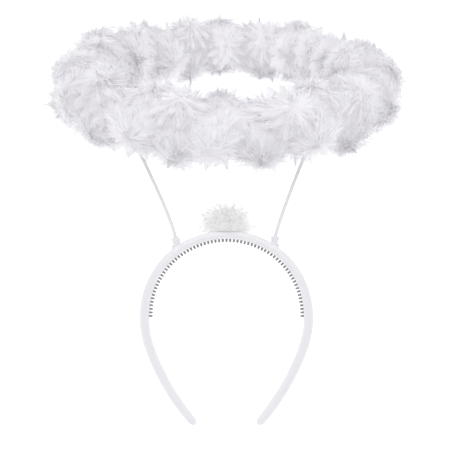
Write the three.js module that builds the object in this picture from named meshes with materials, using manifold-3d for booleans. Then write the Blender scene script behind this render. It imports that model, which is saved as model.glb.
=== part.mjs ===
// Halo headband: a white plastic headband with comb teeth, two bowed stems, and a
// halo of marabou fluff that floats above and behind the head. It lies on its back.
//
// The pieces are shaped in the frame in which it is worn: X to the right, Y away from
// the viewer and Z up, with zero on top of the crown. The last group lays the whole
// thing down on a floor at Z = 0, on the tips of its legs and the back of the halo.
// All lengths are in millimetres, and all angles that are named are in degrees.

import * as THREE from "three";
import { mergeVertices } from "three/addons/utils/BufferGeometryUtils.js";
import Module from "manifold-3d";

const wasm = await Module();
wasm.setup();

// Sizes

const GAP = 0.3; // clear space between two pieces that touch

// Headband: its centre line is three arcs on each side, from the crown to the tip
const BAND_THICKNESS = 7.2; // across the band in its own plane, at the temples
const BAND_DEPTH = 8; // from front to back
const CROWN_RADIUS = 59.5;
const CROWN_TURN = 77.5;
const TEMPLE_RADIUS = 71;
const TEMPLE_TURN = 31;
const LEG_RADIUS = 177;
const LEG_TURN = 22;
const TIP_LENGTH = 5; // over which each end is rounded off

// Thickness and depth along each half, as shares of the two sizes above
const BAND_SECTIONS = [
  { along: 0, thick: 0.83, deep: 1 },
  { along: 0.3, thick: 0.88, deep: 1 },
  { along: 0.55, thick: 1, deep: 1 },
  { along: 0.85, thick: 0.98, deep: 0.95 },
  { along: 1, thick: 0.9, deep: 0.85 },
];

// Corners of the band's cross section, as shares of half its thickness and depth
const BAND_CORNERS = [
  { out: 1, back: 0.42 },
  { out: 0.36, back: 1 },
  { out: -0.36, back: 1 },
  { out: -1, back: 0.42 },
  { out: -1, back: -0.42 },
  { out: -0.36, back: -1 },
  { out: 0.36, back: -1 },
  { out: 1, back: -0.42 },
];

// Comb teeth: tapered pins along the inside of the band
const TOOTH_PITCH = 2.85;
const TOOTH_LENGTH = 2.6;
const TOOTH_ROOT_WIDTH = 1.7;
const TOOTH_TIP_WIDTH = 1.1;
const TOOTH_SPAN = 96; // of the band's line, from the crown to the last tooth

// Sockets that hold the stems, moulded on the outside of the band
const SOCKET_PLACE = 36.7; // along the band's line from the crown
const SOCKET_HEIGHT = 9.2; // from the band's line
const SOCKET_TOP_WIDTH = 6.3;
const SOCKET_FOOT_WIDTH = 4.7;
const BORE_DEPTH = 6.5;

// Stems
const STEM_WIDTH = 2.5;
// place: of the socket, as a share of the size above; lean: of the socket;
// turn: place on the halo from its front; arrive: lean there; rise and settle: how much
// of the stem's length keeps near its first and last direction
const STEMS = [
  { name: "left", side: -1, place: 1.025, lean: 9, turn: 44, arrive: 26.5, rise: 0.12, settle: 0.52 },
  { name: "right", side: 1, place: 0.973, lean: 10, turn: 39, arrive: 28, rise: 0.1, settle: 0.34 },
];

// Halo: a ring behind and above the crown, with its back raised
const HALO_RADIUS = 108;
const HALO_TILT = 14.5;
const HALO_BEHIND = 79.5; // its centre, behind the band's plane
const HALO_ABOVE = 102; // its centre, above the crown
const RING_WIRE = 3; // diameter of the rod under the fluff

// Marabou: locks that fan out from the middle of each puff
const FUR_TIP = 28.5; // from the ring's line to the longest tips
const FUR_VALLEY = 21; // from the ring's line to the dense fluff between locks
const PUFF_PITCH = 31; // from puff to puff along the ring
const PUFFS_ACROSS = 3; // puffs round its section
const LOCK_PITCH = 6.3; // from tip to valley along the ring
const LOCK_WIDTH = 6.6; // and round its section
const PUFFS_ROUND = Math.round((2 * Math.PI * HALO_RADIUS) / PUFF_PITCH);
const LOCKS_ROUND = 2 * Math.round((Math.PI * HALO_RADIUS) / LOCK_PITCH);
const LOCKS_ACROSS = 2 * Math.round((Math.PI * FUR_VALLEY) / LOCK_WIDTH);

// Fullness of the fluff round the halo from its front, as shares of the two reaches above
const FULLNESS = [
  { turn: 0, full: 1 },
  { turn: 90, full: 0.98 },
  { turn: 140, full: 0.94 },
  { turn: 180, full: 0.92 },
  { turn: 220, full: 0.95 },
  { turn: 285, full: 1.03 },
  { turn: 360, full: 1 },
];

// Pompom on the crown
const POM_WIDTH = 35;
const POM_HEIGHT = 18;
const POM_DEPTH = 23;
const POM_SETBACK = 6; // of its middle, behind the band's plane
const POM_VALLEY = 0.8; // dense fluff, as a share of the tips' reach
const POM_LOCK_PITCH = 4.2; // from tip to valley round its foot
const POM_LOCKS = 2 * Math.round((0.5 * Math.PI * POM_WIDTH) / POM_LOCK_PITCH);

// Helpers

const rad = THREE.MathUtils.degToRad;

/** Value of a column of a table at a place between two rows, on a straight line. */
function readTable(rows, key, at, column) {
  const next = rows.findIndex((row) => row[key] >= at);
  if (next <= 0) {
    return next < 0 ? rows[rows.length - 1][column] : rows[0][column];
  }
  const [low, high] = [rows[next - 1], rows[next]];
  const share = (at - low[key]) / (high[key] - low[key]);
  return THREE.MathUtils.lerp(low[column], high[column], share);
}

/** Closed geometry to a solid that can be joined and cut. */
function toSolid(geometry) {
  const bare = geometry.clone();
  bare.deleteAttribute("normal");
  bare.deleteAttribute("uv");
  const merged = mergeVertices(bare, 1e-4);
  const index = merged.index.array;
  const triangles = [];
  for (let i = 0; i < index.length; i += 3) {
    const [a, b, c] = [index[i], index[i + 1], index[i + 2]];
    if (a !== b && b !== c && c !== a) {
      triangles.push(a, b, c);
    }
  }
  return new wasm.Manifold(new wasm.Mesh({
    numProp: 3,
    vertProperties: new Float32Array(merged.attributes.position.array),
    triVerts: new Uint32Array(triangles),
  }));
}

/** Solid back to a geometry. */
function toGeometry(solid) {
  const mesh = solid.getMesh();
  const geometry = new THREE.BufferGeometry();
  geometry.setAttribute("position", new THREE.BufferAttribute(mesh.vertProperties, 3));
  geometry.setIndex(new THREE.BufferAttribute(mesh.triVerts, 1));
  geometry.computeVertexNormals();
  return geometry;
}

/**
 * Turns a grid geometry into locks. Every second crossing of the grid is a lock's tip
 * and the rest are valleys, and each square is cut from valley to valley, so a lock is
 * a pointed tuft with four sides. place(u, v, tip) gives the point of a crossing.
 */
function growLocks(grid, columns, rows, place) {
  const at = (column, row) => row * (columns + 1) + column;
  const position = grid.attributes.position;
  for (let row = 0; row <= rows; row += 1) {
    for (let column = 0; column <= columns; column += 1) {
      const tip = (row + column) % 2 === 1;
      const point = place(column % columns, row, tip);
      position.setXYZ(at(column, row), point.x, point.y, point.z);
    }
  }
  const index = [];
  for (let row = 0; row < rows; row += 1) {
    for (let column = 0; column < columns; column += 1) {
      const a = at(column, row);
      const b = at(column, row + 1);
      const c = at(column + 1, row + 1);
      const d = at(column + 1, row);
      if ((row + column) % 2 === 1) {
        index.push(a, b, d, b, c, d);
      } else {
        index.push(a, b, c, a, c, d);
      }
    }
  }
  grid.setIndex(index);
  return grid;
}

/** Even scatter between -1 and 1 that depends only on two whole numbers. */
function scatter(i, j) {
  const wave = Math.sin(i * 12.9898 + j * 78.233) * 43758.5453;
  return 2 * (wave - Math.floor(wave)) - 1;
}

// Headband

/** Centre line of the band: arcs that follow each other, the same on both sides. */
class BandLine extends THREE.Curve {
  constructor() {
    super();
    this.arcs = [
      { radius: CROWN_RADIUS, turn: rad(CROWN_TURN) },
      { radius: TEMPLE_RADIUS, turn: rad(TEMPLE_TURN) },
      { radius: LEG_RADIUS, turn: rad(LEG_TURN) },
    ];
    this.half = this.arcs.reduce((sum, arc) => sum + arc.radius * arc.turn, 0);
    this.top = -0.5 * BAND_THICKNESS * BAND_SECTIONS[0].thick;
  }

  /** Point and heading at a length from the crown, which is negative on the left. */
  along(length) {
    const side = Math.sign(length) || 1;
    let left = Math.abs(length);
    let heading = 0;
    const point = new THREE.Vector2(0, this.top);
    for (const [i, arc] of this.arcs.entries()) {
      const last = i === this.arcs.length - 1;
      const part = last ? left : Math.min(left, arc.radius * arc.turn);
      const turned = heading + part / arc.radius;
      point.x += arc.radius * (Math.sin(turned) - Math.sin(heading));
      point.y += arc.radius * (Math.cos(turned) - Math.cos(heading));
      heading = turned;
      left -= part;
    }
    return {
      point: new THREE.Vector3(side * point.x, 0, point.y),
      out: new THREE.Vector3(side * Math.sin(heading), 0, Math.cos(heading)),
    };
  }

  getPoint(share) {
    return this.along((2 * share - 1) * this.half).point;
  }
}

const bandLine = new BandLine();

/** Half thickness and half depth of the band at a length from the crown. */
function bandSize(length) {
  const along = Math.abs(length) / bandLine.half;
  return {
    thick: 0.5 * BAND_THICKNESS * readTable(BAND_SECTIONS, "along", along, "thick"),
    deep: 0.5 * BAND_DEPTH * readTable(BAND_SECTIONS, "along", along, "deep"),
  };
}

/** The bar itself: a cylinder of eight sides bent along the line, with rounded ends. */
function bandBar() {
  const tipRows = 4;
  const stations = [];
  const straight = bandLine.half - TIP_LENGTH;
  for (let i = 0; i < tipRows; i += 1) {
    const angle = (0.06 + (0.94 * i) / tipRows) * 0.5 * Math.PI;
    stations.push({ length: -straight - TIP_LENGTH * Math.cos(angle), size: Math.sin(angle) });
  }
  const rows = 26;
  for (let i = 0; i <= rows; i += 1) {
    stations.push({ length: straight * (i / rows - 1), size: 1 });
  }
  const right = stations.slice(0, -1).reverse();
  stations.push(...right.map(({ length, size }) => ({ length: -length, size })));

  const sides = BAND_CORNERS.length;
  const bar = new THREE.CylinderGeometry(1, 1, 1, sides, stations.length - 1);
  const position = bar.attributes.position;
  for (let i = 0; i < position.count; i += 1) {
    const row = Math.round((0.5 - position.getY(i)) * (stations.length - 1));
    const { length, size } = stations[row];
    const { point, out } = bandLine.along(length);
    const half = bandSize(length);
    const place = point.clone();
    if (Math.hypot(position.getX(i), position.getZ(i)) > 0.5) {
      const angle = Math.atan2(position.getX(i), position.getZ(i));
      const corner = BAND_CORNERS[(Math.round((angle / (2 * Math.PI)) * sides) + sides) % sides];
      place.addScaledVector(out, corner.out * half.thick * size);
      place.y += corner.back * half.deep * size;
    }
    position.setXYZ(i, place.x, place.y, place.z);
  }
  return toSolid(bar);
}

/** One comb tooth, a six-sided pin that points to the inside of the band. */
function combTooth(length) {
  const { point, out } = bandLine.along(length);
  const root = bandSize(length).thick;
  const buried = 0.4 * root;
  const pin = new THREE.CylinderGeometry(
    0.5 * TOOTH_ROOT_WIDTH, 0.5 * TOOTH_TIP_WIDTH, TOOTH_LENGTH + buried, 6);
  const middle = root - buried + 0.5 * (TOOTH_LENGTH + buried);
  pin.applyQuaternion(new THREE.Quaternion().setFromUnitVectors(new THREE.Vector3(0, 1, 0), out));
  pin.translate(...point.addScaledVector(out, -middle).toArray());
  return toSolid(pin);
}

/** Foot, axis and top of a socket, on the band's line. */
function socketAxis(stem) {
  const { point } = bandLine.along(stem.side * stem.place * SOCKET_PLACE);
  const lean = rad(stem.lean);
  const axis = new THREE.Vector3(stem.side * Math.sin(lean), 0, Math.cos(lean));
  const top = point.clone().addScaledVector(axis, SOCKET_HEIGHT);
  return { foot: point, axis, top };
}

/** Turns a shape made round the Y axis to stand along an axis at a point. */
function stand(geometry, point, axis) {
  const turn = new THREE.Quaternion().setFromUnitVectors(new THREE.Vector3(0, 1, 0), axis);
  return geometry.applyQuaternion(turn).translate(point.x, point.y, point.z);
}

/** A socket: a tapered cup with a rim, open at the top for the stem. */
function socketSolid(stem) {
  const { foot, axis } = socketAxis(stem);
  const rim = 0.5 * SOCKET_TOP_WIDTH;
  const bore = 0.5 * STEM_WIDTH + GAP + 0.05;
  const sunk = 0.25 * BAND_THICKNESS;
  const profile = [
    [0, -sunk],
    [0.5 * SOCKET_FOOT_WIDTH, -sunk],
    [0.5 * SOCKET_FOOT_WIDTH, 0.3 * SOCKET_HEIGHT],
    [rim - 0.35, SOCKET_HEIGHT - 1.5],
    [rim, SOCKET_HEIGHT - 1.1],
    [rim, SOCKET_HEIGHT - 0.4],
    [rim - 0.4, SOCKET_HEIGHT],
    [bore, SOCKET_HEIGHT],
    [bore, SOCKET_HEIGHT - BORE_DEPTH],
    [0, SOCKET_HEIGHT - BORE_DEPTH],
  ].map(([radius, height]) => new THREE.Vector2(radius, height));
  return toSolid(stand(new THREE.LatheGeometry(profile, 14), foot, axis));
}

/** Room for the bore, cut out of the band's bar under a socket. */
function boreSolid(stem) {
  const { foot, axis } = socketAxis(stem);
  const bore = new THREE.CylinderGeometry(
    0.5 * STEM_WIDTH + GAP, 0.5 * STEM_WIDTH + GAP, BORE_DEPTH, 14);
  bore.translate(0, SOCKET_HEIGHT - 0.5 * BORE_DEPTH, 0);
  return toSolid(stand(bore, foot, axis));
}

function headbandSolid() {
  let body = bandBar();
  const teeth = 2 * Math.floor(TOOTH_SPAN / TOOTH_PITCH);
  for (let i = 0; i <= teeth; i += 1) {
    body = body.add(combTooth((i - 0.5 * teeth) * TOOTH_PITCH));
  }
  for (const stem of STEMS) {
    body = body.add(socketSolid(stem)).subtract(boreSolid(stem));
  }
  return body;
}

// Halo

/** Point of the halo: turn from its front, angle round its section, reach from its line. */
function haloPoint(turn, angle, reach) {
  const out = HALO_RADIUS + reach * Math.cos(angle);
  const point = new THREE.Vector3(
    out * Math.sin(turn), -out * Math.cos(turn), reach * Math.sin(angle));
  point.applyAxisAngle(new THREE.Vector3(1, 0, 0), rad(HALO_TILT));
  return point.add(new THREE.Vector3(0, HALO_BEHIND, HALO_ABOVE));
}

/** The rod under the fluff, or the channel that it needs. */
function ringSolid(width) {
  const ring = new THREE.TorusGeometry(HALO_RADIUS, 0.5 * width, 6, 54);
  ring.rotateX(rad(HALO_TILT));
  ring.translate(0, HALO_BEHIND, HALO_ABOVE);
  return toSolid(ring);
}

/** Direction in which a stem arrives at the ring. */
function arrival(stem) {
  const lean = rad(stem.arrive);
  return new THREE.Vector3(stem.side * Math.sin(lean), 0, Math.cos(lean));
}

/** How far a stem stops before the ring's line, so that its flat end clears the rod. */
function stemStop(stem) {
  const turn = stem.side * rad(stem.turn);
  const along = haloPoint(turn + 0.01, 0, 0).sub(haloPoint(turn - 0.01, 0, 0)).normalize();
  const slant = Math.abs(along.dot(arrival(stem)));
  const square = Math.sqrt(1 - slant * slant);
  return (0.5 * RING_WIRE + GAP + 0.5 * STEM_WIDTH * slant) / square;
}

/** Line of a stem: straight in its socket, then bowed out to the ring. */
function stemLine(stem, endClear) {
  const { axis, top } = socketAxis(stem);
  const start = top.clone().addScaledVector(axis, GAP - BORE_DEPTH);
  const end = haloPoint(stem.side * rad(stem.turn), 0, 0);
  const arrive = arrival(stem);
  const reach = top.distanceTo(end);
  const rise = top.clone().addScaledVector(axis, stem.rise * reach);
  const settle = end.clone().addScaledVector(arrive, -stem.settle * reach);
  const stop = end.clone().addScaledVector(arrive, -endClear);
  const line = new THREE.CurvePath();
  line.add(new THREE.LineCurve3(start, top));
  line.add(new THREE.CubicBezierCurve3(top, rise, settle, stop));
  return line;
}

/** A round rod along a stem's line. */
function stemSolid(stem, width, endClear) {
  const section = new THREE.Shape();
  const sides = 8;
  for (let i = 0; i < sides; i += 1) {
    const angle = (2 * Math.PI * i) / sides;
    const [x, y] = [0.5 * width * Math.cos(angle), 0.5 * width * Math.sin(angle)];
    if (i === 0) {
      section.moveTo(x, y);
    } else {
      section.lineTo(x, y);
    }
  }
  return toSolid(new THREE.ExtrudeGeometry(section, {
    steps: 18,
    extrudePath: stemLine(stem, endClear),
  }));
}

/** Middle of the puff nearest to a place on the halo, and how far off it lies. */
function nearestPuff(turn, angle) {
  const pitch = (2 * Math.PI) / PUFFS_ROUND;
  const across = (2 * Math.PI) / PUFFS_ACROSS;
  let best = { off: Infinity };
  const near = Math.round(turn / pitch);
  for (let i = near - 1; i <= near + 1; i += 1) {
    const puff = ((i % PUFFS_ROUND) + PUFFS_ROUND) % PUFFS_ROUND;
    for (let j = 0; j < PUFFS_ACROSS; j += 1) {
      const puffTurn = (i + 0.3 * scatter(puff, j)) * pitch;
      const puffAngle = (j + 0.5 * (puff % 2) + 0.2 * scatter(j, puff)) * across;
      let dAngle = angle - puffAngle;
      dAngle -= 2 * Math.PI * Math.round(dAngle / (2 * Math.PI));
      const dTurn = turn - puffTurn;
      const off = Math.hypot((dTurn / pitch) * 2, (dAngle / across) * 2);
      if (off < best.off) {
        best = { off, dTurn, dAngle, long: 1 + 0.06 * scatter(puff + 7, j + 3) };
      }
    }
  }
  return best;
}

/** Place of one crossing of the marabou's grid, a lock's tip or a valley. */
function furPoint(column, row, tip) {
  const turn = (2 * Math.PI * column) / LOCKS_ROUND;
  const angle = (-2 * Math.PI * (row % LOCKS_ACROSS)) / LOCKS_ACROSS;
  const full = readTable(FULLNESS, "turn", (360 * column) / LOCKS_ROUND, "full");
  const puff = nearestPuff(turn, angle);
  const swell = 1 - 0.11 * Math.min(puff.off, 1.4) ** 2;
  if (!tip) {
    return haloPoint(turn, angle, FUR_VALLEY * full * swell);
  }
  const own = 0.95 + 0.05 * scatter(column, (row % LOCKS_ACROSS) + 50);
  const fan = 0.16;
  const reach = FUR_TIP * full * swell * own * puff.long;
  return haloPoint(turn + fan * puff.dTurn, angle + fan * puff.dAngle, reach);
}

function marabouSolid() {
  const grid = new THREE.TorusGeometry(HALO_RADIUS, FUR_VALLEY, LOCKS_ACROSS, LOCKS_ROUND);
  let fluff = toSolid(growLocks(grid, LOCKS_ROUND, LOCKS_ACROSS, furPoint));
  fluff = fluff.subtract(ringSolid(RING_WIRE + 2 * GAP));
  for (const stem of STEMS) {
    fluff = fluff.subtract(stemSolid(stem, STEM_WIDTH + 2 * GAP, 0));
  }
  return fluff;
}

// Pompom

/** Place of one crossing of the pompom's grid. */
function pomPoint(column, row, tip, rows) {
  const turn = (2 * Math.PI * column) / POM_LOCKS;
  const down = (Math.PI * row) / rows;
  const pole = row === 0 || row === rows;
  const own = 0.93 + 0.07 * scatter(column, row + 90);
  const reach = tip && !pole ? own : POM_VALLEY;
  return new THREE.Vector3(
    0.5 * POM_WIDTH * reach * Math.sin(down) * Math.sin(turn),
    POM_SETBACK - 0.5 * POM_DEPTH * reach * Math.sin(down) * Math.cos(turn),
    POM_HEIGHT * reach * Math.cos(down));
}

/** A fluffy half ball whose underside follows the band's outer face. */
function pompomSolid() {
  const rows = 2 * Math.round(POM_LOCKS / 4);
  const grid = new THREE.SphereGeometry(1, POM_LOCKS, rows);
  const ball = toSolid(growLocks(grid, POM_LOCKS, rows,
    (column, row, tip) => pomPoint(column, row, tip, rows)));
  const seatRadius = CROWN_RADIUS - bandLine.top + GAP;
  const seat = new THREE.CylinderGeometry(seatRadius, seatRadius, 4 * POM_DEPTH, 120);
  seat.rotateY(Math.PI / 120);
  seat.translate(0, 0, bandLine.top - CROWN_RADIUS);
  return ball.subtract(toSolid(seat));
}

// The pieces and the way they lie

const plastic = { color: 0xf0eff4, roughness: 0.3, metalness: 0 };
const fluff = { color: 0xf1eff5, roughness: 0.95, metalness: 0 };

function piece(name, solid, look) {
  const mesh = new THREE.Mesh(toGeometry(solid), new THREE.MeshStandardMaterial(look));
  mesh.name = name;
  return mesh;
}

const worn = new THREE.Group();
worn.add(piece("headband", headbandSolid(), plastic));
for (const stem of STEMS) {
  const solid = stemSolid(stem, STEM_WIDTH, stemStop(stem));
  worn.add(piece(`stem_${stem.name}`, solid, plastic));
}
worn.add(piece("halo_ring", ringSolid(RING_WIRE), plastic));
worn.add(piece("marabou", marabouSolid(), fluff));
worn.add(piece("pompom", pompomSolid(), fluff));

/** Lowest height of a piece once the worn frame is turned about X. */
function lowest(mesh, turn) {
  const position = mesh.geometry.attributes.position;
  let low = Infinity;
  for (let i = 0; i < position.count; i += 1) {
    const height = position.getY(i) * Math.sin(turn) + position.getZ(i) * Math.cos(turn);
    low = Math.min(low, height);
  }
  return low;
}

/** Turn about X that brings the leg tips and the back of the halo to one level. */
function restTurn() {
  const [band, fur] = [worn.getObjectByName("headband"), worn.getObjectByName("marabou")];
  let [flat, upright] = [-0.5 * Math.PI, 0];
  for (let i = 0; i < 50; i += 1) {
    const middle = 0.5 * (flat + upright);
    if (lowest(band, middle) < lowest(fur, middle)) {
      upright = middle;
    } else {
      flat = middle;
    }
  }
  return 0.5 * (flat + upright);
}

const part = new THREE.Group();
worn.rotation.x = restTurn();
part.add(worn);
part.updateMatrixWorld(true);
const box = new THREE.Box3().setFromObject(part, true);
worn.position.set(
  -0.5 * (box.min.x + box.max.x), -0.5 * (box.min.y + box.max.y), -box.min.z);
part.updateMatrixWorld(true);

export default part;
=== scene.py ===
# %% [markdown]
# # A halo headband in white plastic and marabou
#
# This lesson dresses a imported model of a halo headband. A glossy white band with comb
# teeth grips the head, two bowed stems stand in sockets on top of it, and they carry a
# halo of marabou fluff. A little pompom sits on the crown. The headband lies on its back
# on a pale floor, on the tips of its legs and the back of the halo. Lengths are written
# in millimetres and turned into metres once.

import math

import bpy
import numpy as np
from mathutils import Matrix


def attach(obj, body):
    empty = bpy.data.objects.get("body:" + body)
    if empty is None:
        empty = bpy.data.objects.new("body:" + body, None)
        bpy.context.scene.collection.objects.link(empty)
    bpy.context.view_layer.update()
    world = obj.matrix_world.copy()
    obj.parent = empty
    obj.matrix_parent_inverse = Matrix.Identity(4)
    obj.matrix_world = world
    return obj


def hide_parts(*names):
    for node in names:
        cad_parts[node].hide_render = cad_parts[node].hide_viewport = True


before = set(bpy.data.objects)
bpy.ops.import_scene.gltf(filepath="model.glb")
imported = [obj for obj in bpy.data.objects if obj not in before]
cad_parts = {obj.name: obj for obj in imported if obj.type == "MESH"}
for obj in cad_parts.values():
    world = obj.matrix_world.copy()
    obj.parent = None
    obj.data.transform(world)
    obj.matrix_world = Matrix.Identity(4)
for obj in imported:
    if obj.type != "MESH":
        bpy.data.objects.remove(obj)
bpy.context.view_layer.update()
MM = 0.001
rng = np.random.default_rng(29)
print("nodes:", ", ".join(sorted(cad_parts)))

# %% [markdown]
# ## From the worn frame to the floor
#
# It is easiest to shape the pieces as they are worn: X to the right, Y away from the
# viewer, Z up, and zero on top of the crown. The hidden ring inside the halo tells how
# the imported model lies: its middle gives the shift, and its flat plane gives the turn.

# %% Worn frame
HALO_RADIUS = 108.0
HALO_TILT = math.radians(14.5)
HALO_CENTRE = np.array([0, 79.5, 102.0])


def node_points(name):
    """All the corners of a CAD node, in millimetres."""
    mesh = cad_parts[name].data
    points = np.empty(3 * len(mesh.vertices), np.float32)
    mesh.vertices.foreach_get("co", points)
    return points.reshape(-1, 3).astype(float) / MM


def turn_about_x(angle):
    """Matrix that turns column vectors about X by an angle, from Y towards Z."""
    c, s = math.cos(angle), math.sin(angle)
    return np.array([[1, 0, 0], [0, c, -s], [0, s, c]])


ring = np.unique(node_points("halo_ring").round(3), axis=0)
ring_middle = 0.5 * (ring.min(0) + ring.max(0))
ring_axis = np.linalg.svd(ring - ring.mean(0), full_matrices=False)[2][2]
ring_axis *= np.sign(ring_axis[2])
rest_turn = math.atan2(-ring_axis[1], ring_axis[2]) - HALO_TILT
REST = turn_about_x(rest_turn)
CROWN = ring_middle - REST @ HALO_CENTRE


def lay_down(worn):
    """Metres over the floor from worn millimetres: REST turns each point, CROWN is added,
    and the sum is scaled."""
    return (worn @ REST.T + CROWN) * MM


print(f"laid back by {-math.degrees(rest_turn):.2f} degrees, crown at {CROWN.round(2)} mm")

# %% [markdown]
# ## Meshes from arrays
#
# Every new piece is a grid of points, worked out as whole arrays. A tube is a grid whose
# columns go round its section and whose rows go along it. Small fans close its two ends,
# and its signed volume tells whether its faces point outwards.

# %% Mesh helpers


def tube_faces(rows, columns):
    """Triangles of a closed tube with points row * columns + column and two end points.
    Each cell gives two triangles, and each end a fan to its own point."""
    column = np.arange(columns)
    beside = (column + 1) % columns
    base = columns * np.arange(rows - 1)[:, None]
    a, b = base + column, base + beside
    c, d = b + columns, a + columns
    sides = np.stack([a, b, c, a, c, d], axis=-1).reshape(-1, 3)
    first = np.stack([np.full(columns, rows * columns), beside, column], axis=-1)
    last = np.stack([np.full(columns, rows * columns + 1), a[-1] + columns, b[-1] + columns],
                    axis=-1)
    return np.vstack([sides, first, last])


def outward(points, faces):
    """The faces, turned over if their signed volume, the sum of a . (b x c), is negative."""
    a, b, c = points[faces[:, 0]], points[faces[:, 1]], points[faces[:, 2]]
    return faces[:, ::-1] if np.sum(a * np.cross(b, c)) < 0 else faces


def tube(grid):
    """Points and outward triangles of one tube or of many alike, from an array whose last
    three axes are row, column and coordinate. The end points are the end rows' means."""
    grid = grid.reshape(-1, *grid.shape[-3:])
    count, rows, columns = grid.shape[:3]
    points = np.concatenate([grid.reshape(count, -1, 3), grid[:, :1].mean(2),
                             grid[:, -1:].mean(2)], axis=1)
    faces = outward(points[0] - points[0].mean(0), tube_faces(rows, columns))
    each = rows * columns + 2
    return points.reshape(-1, 3), (faces + each * np.arange(count)[:, None, None]).reshape(-1, 3)


def joined(*parts):
    """Several pairs of points and faces as one pair."""
    starts = np.cumsum([0] + [len(points) for points, _ in parts[:-1]])
    return (np.vstack([points for points, _ in parts]),
            np.vstack([faces + start for (_, faces), start in zip(parts, starts)]))


def new_piece(name, points, faces, material, replaces=(), values=None):
    """A smooth mesh object from points in metres and triangles, which rides on the body.
    values holds a number for each point, under the name that the material reads."""
    mesh = bpy.data.meshes.new(name)
    count = len(faces)
    mesh.vertices.add(len(points))
    mesh.vertices.foreach_set("co", points.astype(np.float32).ravel())
    mesh.loops.add(3 * count)
    mesh.loops.foreach_set("vertex_index", faces.astype(np.int32).ravel())
    mesh.polygons.add(count)
    mesh.polygons.foreach_set("loop_start", np.arange(0, 3 * count, 3, dtype=np.int32))
    mesh.polygons.foreach_set("loop_total", np.full(count, 3, np.int32))
    mesh.polygons.foreach_set("use_smooth", np.ones(count, bool))
    mesh.update(calc_edges=True)
    for key, numbers in (values or {}).items():
        layer = mesh.attributes.new(key, "FLOAT", "POINT")
        layer.data.foreach_set("value", numbers.astype(np.float32))
    mesh.materials.append(material)
    piece = bpy.data.objects.new(name, mesh)
    bpy.context.scene.collection.objects.link(piece)
    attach(piece, "root")
    if replaces:
        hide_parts(*replaces)
    print(f"{name}: {len(points)} points, {count} triangles")
    return piece


# %% [markdown]
# ## Finishes
#
# Moulded plastic is even in colour, but its gloss never is: handling and the mould leave
# faint cloudy patches and very fine waves. One node group makes both from noise, and
# each plastic sets its own scale.

# %% Moulded plastic


def link(tree, output, socket):
    """Joins an output to an input."""
    tree.links.new(output, socket)


def new_material(name):
    """A material, its node tree and its Principled shader."""
    material = bpy.data.materials.new(name)
    material.use_nodes = True
    return material, material.node_tree, material.node_tree.nodes["Principled BSDF"]


def math_node(tree, operation, *values):
    """Output of a Math node whose inputs are sockets or numbers."""
    node = tree.nodes.new("ShaderNodeMath")
    node.operation = operation
    for socket, value in zip(node.inputs, values):
        if isinstance(value, (int, float)):
            socket.default_value = value
        else:
            link(tree, value, socket)
    return node.outputs[0]


def moulded_group():
    """Group: Roughness = base + spread * (broad noise - 0.5), and Height = fine noise."""
    group = bpy.data.node_groups.new("moulded plastic", "ShaderNodeTree")
    for key, value in {"Scale": 90.0, "Base": 0.3, "Spread": 0.12}.items():
        socket = group.interface.new_socket(key, in_out="INPUT", socket_type="NodeSocketFloat")
        socket.default_value = value
    for key in ("Roughness", "Height"):
        group.interface.new_socket(key, in_out="OUTPUT", socket_type="NodeSocketFloat")
    enter, leave = group.nodes.new("NodeGroupInput"), group.nodes.new("NodeGroupOutput")
    place = group.nodes.new("ShaderNodeTexCoord")
    broad, fine = (group.nodes.new("ShaderNodeTexNoise") for _ in range(2))
    fine.inputs["Detail"].default_value = 3.0
    link(group, enter.outputs["Scale"], broad.inputs["Scale"])
    link(group, math_node(group, "MULTIPLY", enter.outputs["Scale"], 7.0), fine.inputs["Scale"])
    for noise in (broad, fine):
        link(group, place.outputs["Object"], noise.inputs["Vector"])
    centred = math_node(group, "SUBTRACT", broad.outputs["Fac"], 0.5)
    link(group, math_node(group, "MULTIPLY_ADD", centred, enter.outputs["Spread"],
                          enter.outputs["Base"]), leave.inputs["Roughness"])
    link(group, fine.outputs["Fac"], leave.inputs["Height"])
    return group


MOULDED = moulded_group()


def plastic(name, colour, gloss, scale):
    """White plastic: an even colour, patchy roughness round gloss, and a faint wave."""
    material, tree, shader = new_material(name)
    shader.inputs["Base Color"].default_value = (*colour, 1)
    shader.inputs["IOR"].default_value = 1.5
    surface = tree.nodes.new("ShaderNodeGroup")
    surface.node_tree = MOULDED
    surface.inputs["Scale"].default_value = scale
    surface.inputs["Base"].default_value = gloss
    bump = tree.nodes.new("ShaderNodeBump")
    bump.inputs["Strength"].default_value = 0.08
    bump.inputs["Distance"].default_value = 0.0002
    link(tree, surface.outputs["Roughness"], shader.inputs["Roughness"])
    link(tree, surface.outputs["Height"], bump.inputs["Height"])
    link(tree, bump.outputs["Normal"], shader.inputs["Normal"])
    return material


BAND_PLASTIC = plastic("white band plastic", (0.88, 0.87, 0.905), 0.30, 90.0)
# The comb's pins are of the band's white plastic; their dark grey colour is painted shade, for
# the shade under the band.
SHADED_TOOTH_PLASTIC = plastic("comb tooth plastic in painted shade", (0.3, 0.29, 0.31), 0.38, 160.0)
STEM_PLASTIC = plastic("white stem plastic", (0.85, 0.84, 0.875), 0.26, 140.0)
print("plastics:", BAND_PLASTIC.name, SHADED_TOOTH_PLASTIC.name, STEM_PLASTIC.name)

# %% [markdown]
# Marabou is down: thousands of barbs, each nearly clear, so that light goes through it
# as well as off it. A Translucent shader beside the Principled one gives that. The barbs'
# colour is a touch whiter near their roots, painted light for light that bounces about deep
# in the down, and the longest ones turn grey at their tips, painted shade for the shaded rim
# of the fluff. Each barb also has a tone of its own, so that single ones stand out as in
# real down.

# %% Barbs and backing


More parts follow.
